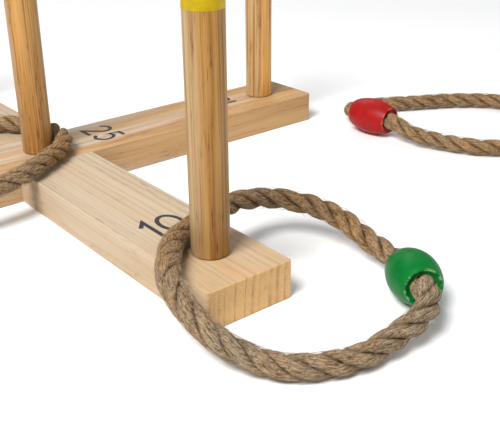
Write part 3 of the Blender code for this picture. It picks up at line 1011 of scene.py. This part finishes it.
def make_boards(woods):
    notch = BOARD_WIDTH / 2 + NOTCH_ROOM
    wide, tall = BOARD_WIDTH, 2 * BOARD_THICKNESS
    cutters = [box_cutter((-wide, -notch, LAP_HEIGHT - GAP / 2), (wide, notch, tall))]
    cutters += [insert_hole(peg_name) for peg_name in ("front", "back", "centre")]
    blank = board_blank(False, LOWER_CORNER_RADIUS)
    wood = "lower_board_pine"
    make_board("lower_plank", blank, cutters, woods[wood], "lower_frame")
    cutters = [box_cutter((-notch, -wide, -tall), (notch, wide, LAP_HEIGHT + GAP / 2))]
    cutters += [insert_hole(peg_name) for peg_name in ("left", "right")]
    cutters.append(round_cutter(STUD_RADIUS + 2 * GAP, -tall, tall, (0.0, 0.0)))
    blank = board_blank(True, UPPER_CORNER_RADIUS)
    wood = "upper_board_pine"
    make_board("upper_plank", blank, cutters, woods[wood], "upper_frame")


# ---- pegs


def threaded(radius, groove, bottom, top):
    """Rows of a thread's surface, whose radius falls by the groove's depth once in each pitch."""
    last = round((top - bottom) / THREAD_PITCH * THREAD_ROWS_PER_PITCH)
    rows = []
    for i in range(last + 1):
        height = bottom + (top - bottom) * i / last
        ends = min(height - bottom, top - height) / THREAD_PITCH
        row = []
        for j, (x, y, _) in enumerate(circle(1.0, height, THREAD_STEPS)):
            phase = (height / THREAD_PITCH - j / THREAD_STEPS) % 1.0
            reach = radius - groove * abs(2 * phase - 1) * min(1.0, ends * 1.5)
            row.append((reach * x, reach * y, height))
        rows.append(row)
    return rows


def make_stud(peg_name, material):
    rows = threaded(STUD_RADIUS, THREAD_DEPTH, -stud_drop(peg_name), STUD_IN_PEG)
    for end in (0, -1):
        rows[end] = [(x * STUD_TIP_SHARE, y * STUD_TIP_SHARE, z) for x, y, z in rows[end]]
    faces = grid_faces(len(rows), THREAD_STEPS, "capped")
    placed = moved(sum(rows, []), (*PEGS[peg_name]["place"], PEG_FOOT_Z))
    body = "peg_" + peg_name + "_unit"
    obj = add_mesh("threaded_stud_" + peg_name, placed, faces, material, body, 50.0)
    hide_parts("stud_" + peg_name)


def make_insert(peg_name, material):
    bottom, top = insert_span(peg_name)
    length = top - bottom
    inner = threaded(INSERT_BORE_RADIUS, -THREAD_DEPTH / 2, 0.0, length)
    outer = [
        (INSERT_RADIUS - INSERT_CHAMFER, 0.0),
        (INSERT_RADIUS, INSERT_CHAMFER),
        (INSERT_RADIUS, length - INSERT_CHAMFER),
        (INSERT_RADIUS - INSERT_CHAMFER, length),
    ]
    rows = [circle(radius, height, THREAD_STEPS) for radius, height in outer] + inner[::-1]
    faces = grid_faces(len(rows), THREAD_STEPS, "joined")
    placed = moved(sum(rows, []), (*PEGS[peg_name]["place"], bottom))
    body = "upper_frame" if peg_name in ("left", "right") else "lower_frame"
    obj = add_mesh("threaded_insert_" + peg_name, placed, faces, material, body, 50.0)
    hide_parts("insert_" + peg_name)


def make_peg(peg_name, wood, paint):
    """A peg of bare wood, and the paint on its top as a thin closed cap."""
    bore = STUD_RADIUS + GAP
    foot = PEG_FOOT_RADIUS
    round_top = PEG_TOP_RADIUS
    profile = [(0.0, STUD_IN_PEG + 2 * GAP), (bore, STUD_IN_PEG + 2 * GAP), (bore, 0.0)]
    profile += arc((PEG_RADIUS - foot, foot), foot, -90, 0, 4)
    profile += [(PEG_RADIUS, PEG_HEIGHT * share) for share in (0.2, 0.4, 0.6, 0.8)]
    profile += arc((PEG_RADIUS - round_top, PEG_HEIGHT - round_top), round_top, 0, 90, 8)
    profile.append((0.0, PEG_HEIGHT))
    verts, faces = turned(profile, PEG_STEPS)
    place = (*PEGS[peg_name]["place"], PEG_FOOT_Z)
    body = "peg_" + peg_name + "_unit"
    obj = add_mesh("turned_peg_" + peg_name, moved(verts, place), faces, wood, body, 50.0)
    turn = Matrix.Rotation(PEG_TURNS[peg_name], 3, "Z")
    shift = Vector((0.0, 0.0, PEG_TURNS[peg_name]))
    add_vectors(obj, "grain", [tuple(turn @ Vector(v) + shift) for v in verts])
    # How much the peg's wood colour is scaled, as painted light
    add_values(obj, "painted_light_scale", [PEGS[peg_name]["painted_light_scale"]] * len(verts))
    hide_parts("peg_" + peg_name)

    skin = PAINT_THICKNESS
    sunk = PEG_RADIUS - skin
    line = PAINT_LINE_HEIGHT
    profile = [(sunk, line + skin), (PEG_RADIUS, line), (PEG_RADIUS + skin, line + skin)]
    profile += arc((PEG_RADIUS - round_top, PEG_HEIGHT - round_top), round_top + skin, 0, 90, 8)
    profile.append((0.0, PEG_HEIGHT + skin))
    verts, faces = turned([(0.0, line + 2 * skin), *profile], PEG_STEPS)
    rng = random.Random(peg_name)
    phases = [rng.uniform(0.0, 2 * math.pi) for _ in range(4)]
    waved = []
    for x, y, z in verts:
        if z < line + 3 * skin:
            angle = math.atan2(y, x)
            wave = sum(math.sin(k * angle + phase) / k for k, phase in enumerate(phases, 1))
            z += PAINT_LINE_WAVE * wave
        waved.append((x, y, z))
    name = "painted_top_" + peg_name
    add_mesh(name, moved(waved, place), faces, paint, body, 50.0)


# ---- numbers


def digit_line(digit):
    """The middle line of a digit's stroke, the digit's width, and whether the line closes on itself."""
    half = DIGIT_STROKE / 2
    top = DIGIT_HEIGHT - half
    if digit == "0":
        width = 0.0172
        radii = (width / 2 - half, DIGIT_HEIGHT / 2 - half)
        return oval((width / 2, DIGIT_HEIGHT / 2), radii, 0, 360, 56)[:-1], width, True
    if digit == "1":
        stem = 0.0053
        return [(half * 0.2, top - 0.0064), (stem, top), (stem, 0.0)], stem + half, False
    if digit == "2":
        width = 0.0150
        radius = 0.0062
        middle = (width / 2, top - radius)
        points = oval(middle, (radius, radius), 170, -38, 30)
        return points + [(half * 1.25, half), (width, half)], width, False
    width = 0.0140
    bowl = (0.0066, 0.0081 - half / 2)
    middle = (width - half - bowl[0], half + bowl[1])
    points = [(width - half * 1.6, top), (half * 2.4, top), (half * 1.5, DIGIT_HEIGHT * 0.56)]
    return points + oval(middle, bowl, 122, -148, 34), width, False


def stroke_mesh(line, closed):
    """Points and faces of a flat stroke of even width along a line."""
    points = [Vector(p) for p in line]
    last = len(points) - 1
    verts = []
    for i, point in enumerate(points):
        into = (point - points[i - 1]).normalized() if i > 0 or closed else None
        out = (points[(i + 1) % len(points)] - point).normalized() if i < last or closed else into
        into = into or out
        side = Vector((-(into + out).y, (into + out).x)).normalized()
        spread = 1 / max(0.35, side.dot(Vector((-into.y, into.x))))
        reach = side * DIGIT_STROKE / 2 * spread
        for way, layer in ((1, -1), (-1, -1), (-1, 1), (1, 1)):
            verts.append((point.x + way * reach.x, point.y + way * reach.y, layer * INK_THICKNESS))
    return verts, grid_faces(len(points), 4, "joined" if closed else "capped")


def make_number(text, material):
    """A number printed on a board, in one piece."""
    spot = NUMBERS[text]
    turn = Matrix.Rotation(math.radians(spot["reads"]), 4, "Z")
    place = Matrix.Translation((*spot["place"], BOARD_THICKNESS)) @ turn
    verts, faces = [], []
    start = 0.0
    for digit in text:
        line, width, closed = digit_line(digit)
        points, quads = stroke_mesh(line, closed)
        faces += [tuple(i + len(verts) for i in face) for face in quads]
        verts += [place @ Vector((x + start, y, z)) for x, y, z in points]
        start += width + DIGIT_SPACING
    body = "lower_frame" if text in ("10", "5") else "upper_frame"
    add_mesh("number_" + text, verts, faces, material, body, 30.0)


# ---- main


def main():
    make_camera()
    make_studio()
    make_rings(jute_material(), hair_material())
    woods = {name: wood_material(name, **settings) for name, settings in WOODS.items()}
    make_boards(woods)
    steel = metal_material("zinc_plated_steel", (0.62, 0.62, 0.64), 0.32)
    brass = metal_material("insert_brass", (0.72, 0.53, 0.24), 0.34)
    for peg_name, details in PEGS.items():
        paint = paint_material("peg_" + details["paint"], PAINTS[details["paint"]], 0.0)
        make_peg(peg_name, woods["peg_wood"], paint)
        make_stud(peg_name, steel)
        make_insert(peg_name, brass)
    ink = ink_material()
    for text in NUMBERS:
        make_number(text, ink)


main()
